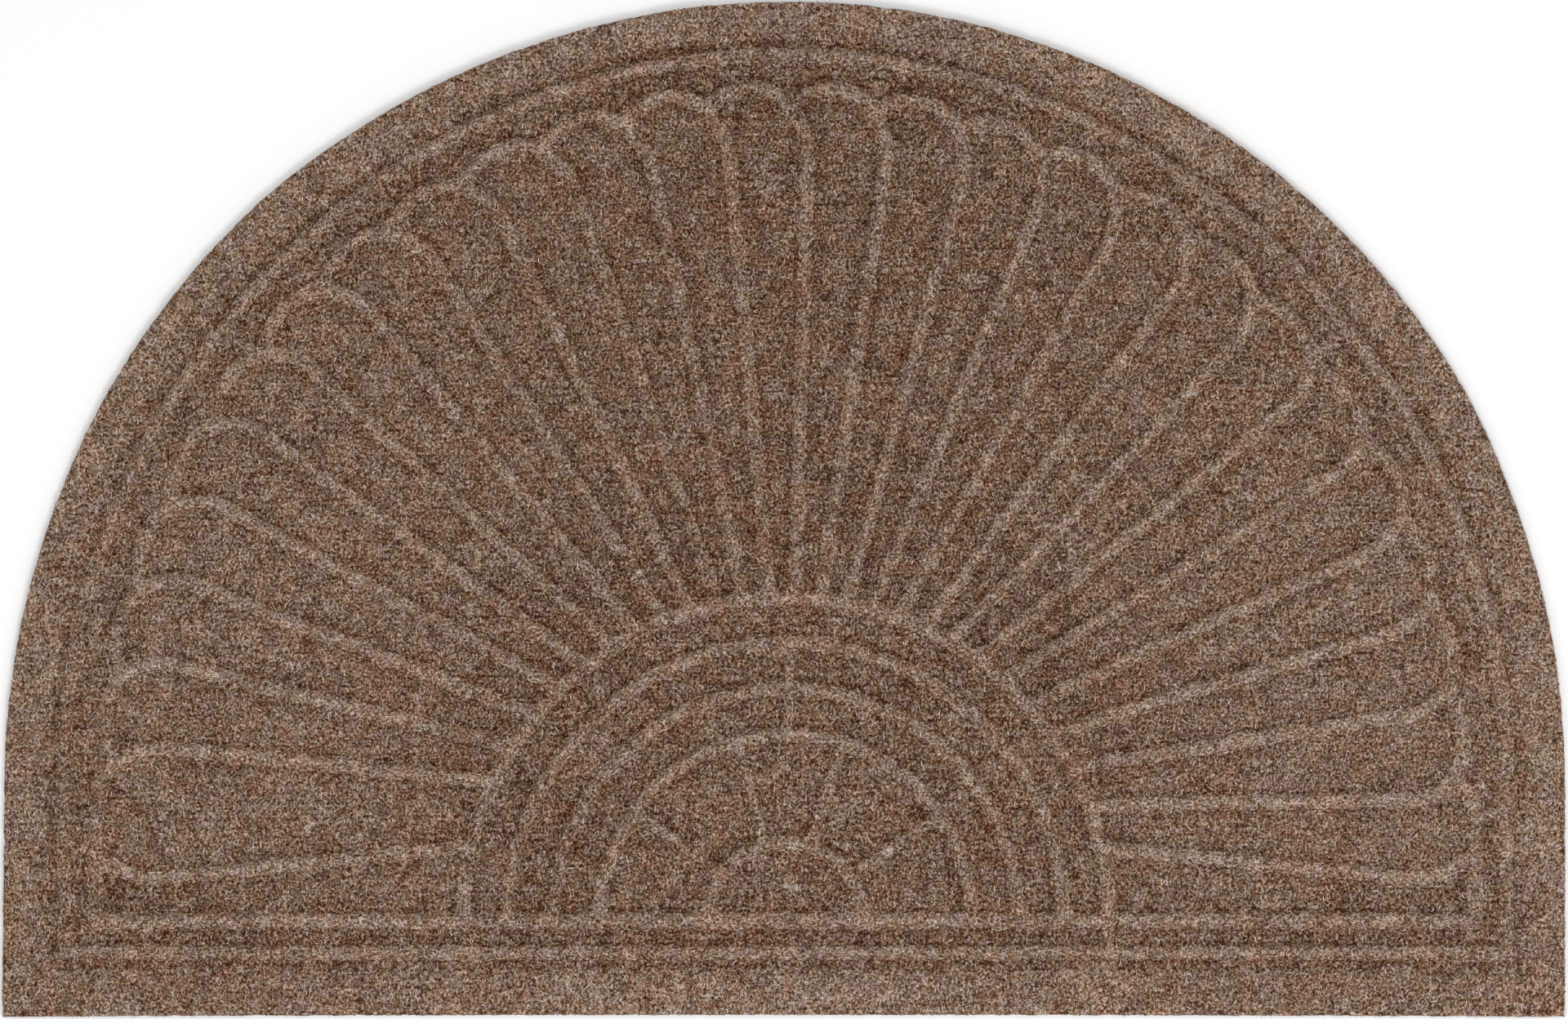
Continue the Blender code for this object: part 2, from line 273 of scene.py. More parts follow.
# %% Shade of each zone
RIB_SHADE = 0.202
# painted shade in the creases beside the ribs
CREASE_PAINTED_SHADE = -0.044
FAR_SIDE_PAINTED_SHADOW = -0.046
# the swell of a petal is paler, partly as less pressed pile and partly as painted light on its top
PILLOW_SHADE = 0.017
GROOVE_SHADE = -0.060
BORDER_SHADE = 0.086  # along the straight edge
BORDER_RISE = 0.36  # the share by which the border is paler along the dome
RIGHT_RISE = 0.09  # and towards its right side
DOME_START, DOME_RAMP = 0.03, 0.05  # up from the straight edge
BORDER_BRIM = 0.22  # the share of the border's shade that starts right at the frame
CROWD_SHADE = -0.098
CROWD_REACH = 0.007
TIP_LINE = 0.34  # from the dome's middle; beyond it crowding darkens less
TIP_RELIEF = 0.6
SIDE_SHADE = 0.052
DOME_MIDDLE = -0.1597  # the middle of the dome's arc, up from the origin
PETAL_FOOT = 0.190  # from the dome's middle
FAN_SHADE = 0.022
FAN_MIDDLE, FAN_REACH, FAN_RAMP = -0.2408, 0.207, 0.01
FOOT_SHADE = -0.035
FOOT_LINE = -0.205  # below it the side petals are darker again
FOOT_SIDE, FOOT_RAMP = 0.25, 0.10  # out from the middle
ZONE_RAMP = 0.02  # from one zone to the next

# painted shade in the creases
shade += CREASE_PAINTED_SHADE * crease + PILLOW_SHADE * pillow
shade += GROOVE_SHADE * blurred(groove, RASTER_STEP)
dome_border = np.clip((raster_y[:, None] - low.y - DOME_START) / DOME_RAMP, 0, 1)
border_strength = BORDER_SHADE * (1 + dome_border * (BORDER_RISE + RIGHT_RISE * aside))
border_ramp = BORDER_BRIM * border + (1 - BORDER_BRIM) * blurred_on_mat(border, BORDER_RAMP)
shade += border_strength * border_ramp * (1 - crest)
out_x, out_y = np.meshgrid(raster_x, raster_y - DOME_MIDDLE)
from_middle = np.hypot(out_x, out_y)
tips = np.clip((from_middle - TIP_LINE) / ZONE_RAMP, 0, 1)
shade += CROWD_SHADE * blurred(rib, CROWD_REACH) * (1 - TIP_RELIEF * tips)
petals = np.clip((from_middle - PETAL_FOOT) / ZONE_RAMP, 0, 1) * (1 - np.clip(border, 0, 1))
shade += SIDE_SHADE * petals * (out_x / np.maximum(from_middle, 0.01)) ** 2
from_fan = np.hypot(out_x, raster_y[:, None] - FAN_MIDDLE)
shade += FAN_SHADE * np.clip((FAN_REACH - from_fan) / FAN_RAMP, 0, 1)
side_foot = np.clip((FOOT_LINE - raster_y[:, None]) / ZONE_RAMP, 0, 1) * (1 - border)
shade += FOOT_SHADE * side_foot * np.clip((np.abs(out_x) - FOOT_SIDE) / FOOT_RAMP, 0, 1)
print("shade from", round(float(shade[inner].min()), 2), "to", round(float(shade[inner].max()), 2))

# %% [markdown]
# ## Rows of tufts
#
# The needles of the loom stand in rows 5 mm apart. The rows still show, because between
# them runs a narrow dark gap, which the ribs hide for the most part. The web is drawn a
# little faster in its middle, so every row is bowed, and it creeps, so the rows wander.
#
# Rows, crests and the painted shadow lines beyond the far sides of ribs are finer than the
# felt's grid will be. So they aren't added to the same raster as the broad zones. The fibres
# read them from a second raster, and the felt's material makes them itself.

# %% The needling pattern
ROW_PITCH = 0.0050
TUFT_PITCH = 0.0055
ROW_BOW = 0.034  # the rows drop by this times the square of the distance from the middle
HAND, FEW_TUFTS = 0.045, 0.012  # how far a row goes on straying to one side
ROW_WANDER = 0.8  # radians, over a hand's width
TUFT_WANDER = 0.6  # over a few tufts
ROW_SWELL = 0.00012  # how far the rows stand proud of the gaps between them
GAP_SHADE = -0.036
GAP_ON_RIBS = 0.3  # the share of it that is left on a rib
GAP_SHARPNESS = 3.0

row_drift = ROW_WANDER * clouds(HAND) + TUFT_WANDER * clouds(FEW_TUFTS)
row_places = raster_y[:, None] + ROW_BOW * raster_x[None, :] ** 2
row_phase = 2 * np.pi * row_places / ROW_PITCH + row_drift
row_wave = np.cos(row_phase)
gap = ((1 - row_wave) / 2) ** GAP_SHARPNESS
# the pale crest, and the painted shadow line beyond a rib's far side
fine_shade = RIB_SHADE * rib_strength * crest + FAR_SIDE_PAINTED_SHADOW * far_crease_and_shadow
fine_shade += GAP_SHADE * gap * (1 - (1 - GAP_ON_RIBS) * crest)
pile_shade = shade + fine_shade
print("fine shade from", round(float(fine_shade.min()), 2), "to", round(float(fine_shade.max()), 2))

# %% [markdown]
# ## The felt body
#
# Under the pile is a dense felt. Its top is a fine grid, cut to the mat's outline, whose
# points are lifted to the softened relief. A grid from bmesh keeps the faces even, which a
# subdivided copy of the solid would not, because that has long thin triangles along its ribs.
# The felt's top stays a little below the solid's, so that the fibres can fill the difference.

# %% The relief of the felt
PILE_DEPTH = 0.0007  # from the solid's top down to the felt
SOFTNESS = 0.0012  # the felt rounds every corner this much
CREASE_DEPTH = 0.0003
FAR_CREASE_DEPTH = 0.0004
DENTS = ((0.004, 0.00010), (0.012, 0.00008))  # reach and depth

felt_level = blurred_on_mat(height, SOFTNESS) - PILE_DEPTH
felt_level += ROW_SWELL * row_wave - CREASE_DEPTH * crease
felt_level -= FAR_CREASE_DEPTH * blurred(far_crease_and_shadow, RASTER_STEP)
felt_level += sum(depth * clouds(reach) for reach, depth in DENTS)
print("felt from", round(felt_level[inner].min() * 1000, 2), "to",
      round(felt_level[inner].max() * 1000, 2), "mm above the floor")

# %% [markdown]
# The outline is the ring of points at the foot of the solid. The blade that cut it out left
# small nicks, so the ring is divided finely and each point is pulled in by a fraction of a
# millimetre.

# %% The cut edge with its nicks
OUTLINE_STEP = 0.0016
NICK = 0.00022
NICK_LENGTHS = (3, 9, 21)  # in points of the outline
SPARE = 20  # points added at each end, because the smoothing spoils some
LOOKOUT = -0.1  # up from the origin; a place that sees the whole outline

foot_ring = sorted(
    {(round(v.co.x, 6), round(v.co.y, 6)) for v in solid.vertices if v.co.z < 1e-5},
    key=lambda p: math.atan2(p[1] - LOOKOUT, p[0]),
)
ring = np.array(foot_ring + foot_ring[:1])
ring_run = np.concatenate([[0], np.cumsum(np.linalg.norm(np.diff(ring, axis=0), axis=1))])
ring_places = np.linspace(0, ring_run[-1], int(ring_run[-1] / OUTLINE_STEP), endpoint=False)
outline = np.stack([np.interp(ring_places, ring_run, ring[:, k]) for k in (0, 1)], axis=1)
ahead = np.roll(outline, -1, axis=0) - np.roll(outline, 1, axis=0)
outward = np.stack([ahead[:, 1], -ahead[:, 0]], axis=1)
outward /= np.linalg.norm(outward, axis=1)[:, None]


def bumps(length):
    """Random bumps along the outline, each about this many points long."""
    rough = random.standard_normal(len(outline) + 2 * SPARE)
    return np.convolve(rough, np.hanning(length), "same")[SPARE:-SPARE] / length**0.5


nicks = sum(bumps(length) for length in NICK_LENGTHS)
outline = outline - outward * (NICK * np.abs(nicks))[:, None]
print("cut edge", round(ring_run[-1], 3), "m long in", len(outline), "points")

# %% [markdown]
# Both the felt and the fibres have to know where the mat ends. Looking through every point of
# the outline would be slow, so a tree of them finds the nearest one at once.

# %% Find the nearest point of the cut edge
edge_tree = KDTree(len(outline))
for n, (x, y) in enumerate(outline):
    edge_tree.insert((x, y, 0), n)
edge_tree.balance()


def nearest_on_outline(points):
    """For each point, the number of the nearest outline point and how far in it lies."""
    nearest = np.array([edge_tree.find((x, y, 0))[1] for x, y in points])
    inside = ((outline[nearest] - points) * outward[nearest]).sum(axis=1)
    return nearest, inside


_, depths = nearest_on_outline(np.array([[0.0, 0.0]]))
print("the origin lies", round(float(depths[0]), 3), "m inside the cut edge")

# %% [markdown]
# A grid covers the mat's box, and its points that lie beside the mat or close to the cut edge
# are deleted. The free band is wide enough that the side can be drawn out evenly from there.

# %% Cut the felt's top out of a grid
GRID_STEP = 0.0024
EDGE_BAND = 0.0028  # left free between the grid and the cut edge

felt = bmesh.new()
half_x, half_y = (high.x - low.x) / 2, (high.y - low.y) / 2
bmesh.ops.create_grid(
    felt, x_segments=int(2 * half_x / GRID_STEP), y_segments=int(2 * half_y / GRID_STEP), size=1
)
bmesh.ops.scale(felt, vec=(half_x, half_y, 1), verts=felt.verts)
places = np.array([v.co.xy[:] for v in felt.verts])
_, inside = nearest_on_outline(places)
outer_points = [v for v, depth in zip(felt.verts, inside) if depth < EDGE_BAND]
bmesh.ops.delete(felt, geom=outer_points, context="VERTS")
print("felt grid", len(felt.faces), "faces")

# %% [markdown]
# The grid's rim is stepped like a staircase. It is extruded outwards onto the cut edge, each
# point to the nearest place on it. No point of the rim is nearest to a square corner, so the
# closest one is sent there. The ring then goes down the side in two steps, and the last ring
# is closed to make the flat underside.

# %% Extrude the side and close the underside
SIDE_STEPS = (0.62, 0.0)  # heights of the rings down the side, as shares of the edge's height
EDGE_ROUNDING = 0.0006  # the top of the cut edge is drawn in by this much


def extrude_rim(mesh):
    """Extrudes the open rim and gives back its new points."""
    rim = [e for e in mesh.edges if e.is_boundary]
    new = bmesh.ops.extrude_edge_only(mesh, edges=rim)["geom"]
    return [g for g in new if isinstance(g, bmesh.types.BMVert)]


for v in felt.verts:
    v.co.z = 0.0
ring_points = extrude_rim(felt)
places = np.array([v.co.xy[:] for v in ring_points])
nearest, _ = nearest_on_outline(places)
for corner in ((low.x, low.y), (high.x, low.y)):
    tip = np.linalg.norm(outline - corner, axis=1).argmin()
    nearest[np.linalg.norm(places - corner, axis=1).argmin()] = tip
for v, n in zip(ring_points, nearest):
    v.co.x, v.co.y = outline[n] - outward[n] * EDGE_ROUNDING
bmesh.ops.remove_doubles(felt, verts=ring_points, dist=0.0002)
places = np.array([v.co.xy[:] for v in felt.verts])
for v, z in zip(felt.verts, read_at(felt_level, places)):
    v.co.z = z
for share in SIDE_STEPS:
    side_points = extrude_rim(felt)
    places = np.array([v.co.xy[:] for v in side_points])
    nearest, _ = nearest_on_outline(places)
    for v, n in zip(side_points, nearest):
        v.co.x, v.co.y = outline[n]
        v.co.z *= share
bmesh.ops.contextual_create(felt, geom=[e for e in felt.edges if e.is_boundary])
bmesh.ops.recalc_face_normals(felt, faces=felt.faces)
open_edges = sum(e.is_boundary for e in felt.edges)
print("felt", len(felt.faces), "faces,", open_edges, "open edges")

# %% [markdown]
# The material needs to know the shade and the hue, the distance to the ribs, how strong
# they are and which side looks away from the lamp, and the phase of the rows. All of them
# change evenly from point to point, so they are stored on the points of the felt. The
# underside keeps the plain middle brown and has no ribs.

# %% The felt piece
SHARP_ANGLE = math.radians(50)  # the rim of the mat is sharper than this, its ribs aren't

felt_mesh = bpy.data.meshes.new("felt_body")
felt.to_mesh(felt_mesh)
felt.free()
felt_mesh.shade_smooth()
felt_mesh.set_sharp_from_angle(angle=SHARP_ANGLE)
felt_body = bpy.data.objects.new("felt_body", felt_mesh)
scene.collection.objects.link(felt_body)

places = np.array([v.co[:] for v in felt_mesh.vertices])
top_side = places[:, 2] > 1e-5
stored_fields = {
    "shade": (shade, 0.0),
    "hue_shift": (hue_shift, 0.0),
    "rib_reach": (rib_reach, rib_reach.min()),
    "rib_strength": (rib_strength, 0.0),
    "far_side": (far_side, 0.0),
}
for name, (field, below) in stored_fields.items():
    stored = felt_mesh.attributes.new(name, "FLOAT", "POINT")
    stored.data.foreach_set("value", np.where(top_side, read_at(field, places), below))
stored = felt_mesh.attributes.new("row_phase", "FLOAT", "POINT")
stored.data.foreach_set("value", read_at(row_phase, places))
triangles = sum(len(p.vertices) - 2 for p in felt_mesh.polygons)
print("felt body", triangles, "triangles")

# %% [markdown]
# ## Colours of the fibre
#
# Every brown of the mat, from umber to beige, strays from grey in the same way: a little more
# red and a little less blue than its brightness. Shade between the fibres would draw the dark
# browns towards grey, so they are given more of this tint and the pale ones less. Beside that
# the brown only turns a bit to rosy grey, olive, straw or rust. So four colour ramps are
# enough, with the same steps of brightness. A hue from 0 to 1 goes through the four in turn,
# and the felt and each fibre have a hue of their own.

# %% Four ramps
DARKEST, PALEST = 25, 215  # brightness of the darkest and the palest fibre, out of 255
BROWN_TINT = (20, -6, -26)  # red, green and blue beside the brightness
ROSY, OLIVE = (0, -1, 7), (-3, 0.5, 1.5)  # what a heather adds to that
STRAW, RUST = (1, 0.5, -4), (5, -2.5, -3)
FIRST_HUE, HUE_STEP = 0.2, 0.2  # where the first of the four is pure, and on to the next
TINT_FADE = 0.5  # the dark end has this much more tint than the pale end
LEAST = 3  # no colour of a fibre goes below this level
STUDIO_LIGHT = 1.2  # the lamps make every colour this much brighter
STOPS = (0.0, 0.25, 0.5, 0.75, 1.0)


def linear(level):
    """The linear strength of a screen level from 0 to 255."""
    share = level / 255
    return share / 12.92 if share <= 0.04045 else ((share + 0.055) / 1.055) ** 2.4


def brown(stop, heather):
    """The colour at this stop of a ramp, with a heather's tint beside the brown's."""
    brightness = DARKEST + (PALEST - DARKEST) * stop
    tint = 1 + TINT_FADE * (0.5 - stop)
    levels = [brightness + tint * b + h for b, h in zip(BROWN_TINT, heather)]
    return tuple(linear(max(level, LEAST)) / STUDIO_LIGHT for level in levels)


def colour_ramp(tree, heather):
    ramp = tree.nodes.new("ShaderNodeValToRGB")
    stops = ramp.color_ramp.elements
    while len(stops) < len(STOPS):
        stops.new(0.5)
    for stop, place in zip(stops, STOPS):
        stop.position = place
        stop.color = (*brown(place, heather), 1.0)
    return ramp


print("middle brown", [round(c, 3) for c in brown(0.4, (0, 0, 0))])


# %% [markdown]
# The ramps are mixed by nodes, one after the other. Each mix starts where the last ramp was
# pure and ends one step further, so any hue lies between two neighbours.

# %% Mix the ramps in a material
def fibre_colour(tree, shade_from, hue_from):
    """Mixes the four ramps: shade picks the step, and the hue goes from one to the next."""
    colours = []
    for heather in (ROSY, OLIVE, STRAW, RUST):
        ramp = colour_ramp(tree, heather)
        tree.links.new(shade_from, ramp.inputs["Fac"])
        colours.append(ramp.outputs["Color"])
    mixed = colours[0]
    for number, colour in enumerate(colours[1:]):
        past = math_node(tree, "SUBTRACT", hue_from, FIRST_HUE + HUE_STEP * number)
        mix = tree.nodes.new("ShaderNodeMix")
        mix.data_type = "RGBA"
        mix.clamp_factor = True
        tree.links.new(math_node(tree, "DIVIDE", past, HUE_STEP), mix.inputs["Factor"])
        tree.links.new(mixed, mix.inputs["A"])
        tree.links.new(colour, mix.inputs["B"])
        mixed = mix.outputs["Result"]
    return mixed


MATT = 0.12  # how strongly anything here mirrors the light


def new_material(name, roughness):
    material = bpy.data.materials.new(name)
    material.use_nodes = True
    shader = material.node_tree.nodes["Principled BSDF"]
    shader.inputs["Roughness"].default_value = roughness
    shader.inputs["Specular IOR Level"].default_value = MATT
    return material, material.node_tree, shader


def math_node(tree, operation, a, b=0.0, clamp=False):
    node = tree.nodes.new("ShaderNodeMath")
    node.operation = operation
    node.use_clamp = clamp
    for socket, value in zip(node.inputs, (a, b)):
        if isinstance(value, (int, float)):
            socket.default_value = value
        else:
            tree.links.new(value, socket)
    return node.outputs["Value"]


# %% [markdown]
# ## The felt's material
#
# Between the fibres of the pile shows the felt: matted curls of the same fibre, painted darker
# as the shade deep in the pile, with small dark pits between them. The contour lines of a
# smooth noise are thin, closed and curly, just like matted fibre, so a sine of the noise draws
# them. A finer noise gives each curl its own shade, and the middles of Voronoi cells make the
# pits.

# %% Felt
CURL_SCALE, CURL_LINES, CURL_STRENGTH = 260.0, 70.0, 0.125
PIT_SCALE, PIT_SIZE, PIT_STRENGTH = 330.0, 0.38, 0.2
SPECK_SCALE, SPECK_STRENGTH = 660.0, 2.15

felt_material, tree, shader = new_material("needled_felt", 0.95)
place = tree.nodes.new("ShaderNodeTexCoord").outputs["Object"]


def noise(scale, detail=2.0):
    node = tree.nodes.new("ShaderNodeTexNoise")
    node.inputs["Scale"].default_value = scale
    node.inputs["Detail"].default_value = detail
    tree.links.new(place, node.inputs["Vector"])
    return node.outputs["Fac"]


def stored_value(name):
    node = tree.nodes.new("ShaderNodeAttribute")
    node.attribute_name = name
    return node.outputs["Fac"]


def scaled(value, centre, factor, clamp=False):
    """How far the value is from its centre, times a factor."""
    away = math_node(tree, "SUBTRACT", value, centre)
    return math_node(tree, "MULTIPLY", away, factor, clamp)


def added(*values):
    total = values[0]
    for value in values[1:]:
        total = math_node(tree, "ADD", total, value)
    return total


contours = math_node(tree, "MULTIPLY", noise(CURL_SCALE, 1.0), CURL_LINES)
curls = math_node(tree, "SINE", contours)
cells = tree.nodes.new("ShaderNodeTexVoronoi")
cells.inputs["Scale"].default_value = PIT_SCALE
tree.links.new(place, cells.inputs["Vector"])
pits = math_node(tree, "SUBTRACT", cells.outputs["Distance"], PIT_SIZE)
pits = math_node(tree, "MINIMUM", pits, 0.0)
grain = added(
    math_node(tree, "MULTIPLY", curls, CURL_STRENGTH),
    scaled(noise(SPECK_SCALE, 3.0), 0.5, SPECK_STRENGTH),
    math_node(tree, "MULTIPLY", pits, PIT_STRENGTH),
)
print("felt: a curl every", round(1000 / CURL_SCALE, 1), "mm, a pit every",
      round(1000 / PIT_SCALE, 1), "mm")

# %% [markdown]
# The material repeats what was done above for the fibres: a pale crest inside the rib's edge,
# a dark line of painted shadow beside it on the far side, and a dark gap between two rows.

# %% Crests, painted far shadows and row gaps in the felt
# painted shade: the felt, seen deep between the fibres, is darker than their middle tone
FELT_SHADE = 0.338
FELT_HUE_SCALE, FELT_HUE_STRENGTH = 420.0, 0.6
BUMP_STRENGTH, BUMP_HEIGHT = 0.6, 0.0004

reach = stored_value("rib_reach")
felt_crest = scaled(reach, CREST_START, 1 / CREST_RAMP, clamp=True)
# the painted shadow line beyond the far side of a rib
off_line = math_node(tree, "ABSOLUTE", math_node(tree, "SUBTRACT", reach, FAR_SHADOW_PLACE))
felt_far_shadow = scaled(off_line, FAR_SHADOW_WIDTH, -1 / FAR_SHADOW_WIDTH, clamp=True)
felt_far_shadow = math_node(tree, "MULTIPLY", felt_far_shadow, stored_value("far_side"))
half_wave = math_node(tree, "SINE", math_node(tree, "MULTIPLY", stored_value("row_phase"), 0.5))
felt_gap = math_node(tree, "MULTIPLY", half_wave, half_wave)
felt_gap = math_node(tree, "POWER", felt_gap, GAP_SHARPNESS)
gap_share = scaled(felt_crest, 1 / (1 - GAP_ON_RIBS), GAP_ON_RIBS - 1)  # 1 off the crests
felt_gap = math_node(tree, "MULTIPLY", felt_gap, gap_share)
felt_crest = math_node(tree, "MULTIPLY", felt_crest, stored_value("rib_strength"))

felt_shade = added(
    grain,
    stored_value("shade"),
    math_node(tree, "MULTIPLY", felt_crest, RIB_SHADE),
    math_node(tree, "MULTIPLY", felt_far_shadow, FAR_SIDE_PAINTED_SHADOW),
    math_node(tree, "MULTIPLY", felt_gap, GAP_SHADE),
)
felt_shade = math_node(tree, "ADD", felt_shade, FELT_SHADE, clamp=True)
felt_hue = scaled(noise(FELT_HUE_SCALE), 0.5, FELT_HUE_STRENGTH)
felt_hue = added(felt_hue, stored_value("hue_shift"))
felt_hue = math_node(tree, "ADD", felt_hue, 0.5, clamp=True)
tree.links.new(fibre_colour(tree, felt_shade, felt_hue), shader.inputs["Base Color"])

bump = tree.nodes.new("ShaderNodeBump")
bump.inputs["Strength"].default_value = BUMP_STRENGTH
bump.inputs["Distance"].default_value = BUMP_HEIGHT
tree.links.new(grain, bump.inputs["Height"])
tree.links.new(bump.outputs["Normal"], shader.inputs["Normal"])
felt_mesh.materials.append(felt_material)
print("the felt's material has", len(tree.nodes), "nodes")

# %% [markdown]
# ## One fibre
#
# A fibre of the pile is a flat curl 1.5 to 5 mm long: its root is in the felt, it bends over,
# and its end goes back into the pile. Particle hair could do this, but it has no mesh to
# keep. So a short strip with pointed ends is made, and arrays bend and place its copies.
# Along the strip a point's share of the length is kept, and across it a point's side.

# %% Strips
def strip_of(segments):
    """Each point's share of the length from -0.5 to 0.5, its side, and the faces."""
    form = bmesh.new()
    bmesh.ops.create_grid(form, x_segments=segments, y_segments=1, size=0.5)
    for end in (-0.5, 0.5):
        tip = [v for v in form.verts if abs(v.co.x - end) < 0.01]
        bmesh.ops.pointmerge(form, verts=tip, merge_co=(end, 0, 0))
    for v in form.verts:
        v.co.x = math.sin(math.pi * v.co.x) / 2  # the tips are short, the body is long
    bmesh.ops.triangulate(form, faces=form.faces)
    form.verts.index_update()
    along = np.array([v.co.x for v in form.verts])
    side = np.array([2 * v.co.y for v in form.verts])
    faces = np.array([[v.index for v in f.verts] for f in form.faces])
    form.free()
    return along, side, faces


LINT_STRIP, SHORT_STRIP, LONG_STRIP, HAIR_STRIP = (strip_of(n) for n in (2, 3, 4, 9))
for strip in (LINT_STRIP, SHORT_STRIP, LONG_STRIP, HAIR_STRIP):
    print("strip", len(strip[0]), "points,", len(strip[2]), "faces")

# %% [markdown]
# ## The fibres' material
#
# 280 000 fibres cannot each have a material. Each fibre lies on its own small spot of a
# palette instead: across the palette the shade goes from dark to pale, and up the palette
# the hue goes from rosy to rust. The two ends of a fibre dive between the others, so they
# lie on a darker place than its middle, as painted shade.

# %% Palette
PALETTE = "OFBake"
fibre_material, tree, shader = new_material("heathered_fibre", 0.85)
shader.inputs["Sheen Weight"].default_value = 0.03
shader.inputs["Sheen Roughness"].default_value = 0.5
palette = tree.nodes.new("ShaderNodeUVMap")
palette.uv_map = PALETTE
split = tree.nodes.new("ShaderNodeSeparateXYZ")
tree.links.new(palette.outputs["UV"], split.inputs["Vector"])
tree.links.new(
    fibre_colour(tree, split.outputs["X"], split.outputs["Y"]), shader.inputs["Base Color"]
)
print("the fibres' material has", len(tree.nodes), "nodes")

# %% [markdown]
# One object for each fibre would be far too many, so each piece is a single mesh of many
# strips: the strip's faces are repeated with their numbers shifted. A fibre's spot on the
# palette has a small width of its own, so that its colour can be baked onto it.

# %% A mesh of many fibres
SPOT = 0.004  # the least size of a fibre's spot on the palette
END_PAINTED_SHADE = 0.13  # painted shade: how much darker a fibre's ends are than its middle


def fibre_piece(name, strip, points, tone, hue):
    """One mesh of many strips, with their places on the palette."""
    along, side, strip_faces = strip
    count, corners = len(points), len(along)
    faces = (strip_faces[None] + corners * np.arange(count)[:, None, None]).reshape(-1, 3)
    mesh = bpy.data.meshes.new(name)
    mesh.from_pydata(points.reshape(-1, 3), [], faces)
    # painted shade: a fibre's ends are darker than its middle
    middle = 0.5 - 4 * along**2
    u = tone[:, None] + (END_PAINTED_SHADE * middle + SPOT * along)[None, :]
    v = hue[:, None] + (SPOT * 0.5 * side)[None, :]
    spots = np.stack([np.clip(u, 0, 1) * (1 - 2 * SPOT) + SPOT + SPOT * along / 2,
                      np.clip(v, 0, 1) * (1 - 2 * SPOT) + SPOT + SPOT * side / 2], axis=-1)
    spots = spots.reshape(-1, 2)
    mesh.uv_layers.new(name=PALETTE).data.foreach_set("uv", spots[faces.ravel()].ravel())
    mesh.shade_smooth()
    mesh.materials.append(fibre_material)
    piece = bpy.data.objects.new(name, mesh)
    scene.collection.objects.link(piece)
    print(name, count, "fibres,", len(faces), "triangles")
    return piece


# %% [markdown]
# ## Bending and placing the fibres
#
# Each fibre is an arc: its heading turns evenly along its length. It rises from its root and
# comes down again, and it is rolled a little about its own line, so that some catch the light
# and some turn away. Its height is measured from the felt under each of its points, so that it
# drapes over the ribs.

# %% Bend a strip, and drape it on the felt
SINK = 0.0002  # the ends of a fibre lie this deep in the felt


def curl(along, length, turn):
    """Each point's way along the arc, aside from it, and its heading."""
    turn = np.where(np.abs(turn) < 0.05, 0.05, turn)[:, None]
    angle = turn * along
    radius = length[:, None] / turn
    return radius * np.sin(angle), radius * (1 - np.cos(angle)), angle


def drape(strip, roots, heading, length, width, turn, rise, roll):
    """The points of strips on the felt; every argument after the roots has one value each."""
    along, side, _ = strip
    run, bend, angle = curl(along[None, :], length, turn)
    cos, sin = np.cos(heading)[:, None], np.sin(heading)[:, None]
    half = side * width[:, None] / 2 * (1 - 3 * along**2)
    way = heading[:, None] + angle
    flat = half * np.cos(roll)[:, None]
    x = roots[:, :1] + run * cos - bend * sin - flat * np.sin(way)
    y = roots[:, 1:2] + run * sin + bend * cos + flat * np.cos(way)
    z = read_at(felt_level, np.stack([x, y], axis=-1)) - SINK
    z += rise[:, None] * (1 - 4 * along**2) + half * np.sin(roll)[:, None]
    return np.stack([x, y, z], axis=-1)


# %% [markdown]
# ## The pile
#
# The pile is made in four beds, one over the other, because one mesh of all fibres would be
# too large. The deep bed is painted a little darker, as painted shade under the others, and
# lies close, and the fibres of the top bed are painted a little paler, as painted light on top,
# and are longer and stand up more. Each needle has pushed its own tuft of fibres down, from six
# in the deep bed to two in the top one. In the fields most of them run across the row, which
# makes it look corded. On the ribs they lie every way, and at a rib's edge they follow it,
# because the plate has pressed them down there.

# %% Tufts on the needling pattern
EDGE_GAP = 0.0006  # no tuft lies closer to the cut edge

rows = np.arange(math.floor(low.y / ROW_PITCH), math.ceil(high.y / ROW_PITCH) + 3) * ROW_PITCH
columns = np.arange(low.x, high.x, TUFT_PITCH)
tufts = np.array([(x, y) for y in rows for x in columns])
tufts[:, 1] -= ROW_BOW * tufts[:, 0] ** 2 + read_at(row_drift, tufts) * ROW_PITCH / (2 * np.pi)
_, inside = nearest_on_outline(tufts)
tufts = tufts[inside > EDGE_GAP]
print(len(tufts), "tufts")

# %% [markdown]
# A fibre starts somewhere in its tuft, but never outside the cut edge. Its tone is a random
# one of the yarn's, many middle ones and a few pale ones, and the shade of its place is added.

# %% The beds
TONE_SHAPE = (1.8, 2.4)  # of the beta curve: most tones are middle ones, and the tail is pale
TONE_RANGE = 1.33  # from the darkest tone to the palest
HUE_SPREAD = 0.07
MIDDLE_TONE = 0.428
LEVELLED = 0.6  # the share of fibres that run across their row, in the fields
LEVELLED_ON_RIBS = 0.2
EDGE_REACH = 0.0011  # fibres this close to the edge of a crest follow it
ROOT_GAP = 0.0008  # from the cut edge
TUFT_SPREAD = 0.55  # of the tuft's pitch, to each side
ROW_SPREAD, RIB_SPREAD = 0.22, 0.5  # of the row's pitch, in the fields and on the ribs
WIDTHS = (0.00036, 0.00056)
ACROSS_ODDS, EDGE_ODDS, TURN_ODDS, ROLL_ODDS = 0.4, 0.3, 1.6, 0.45  # radians


def random_tones(count):
    """How far each fibre's tone is from the middle tone."""
    middle = TONE_SHAPE[0] / sum(TONE_SHAPE)
    return TONE_RANGE * (random.beta(*TONE_SHAPE, count) - middle)


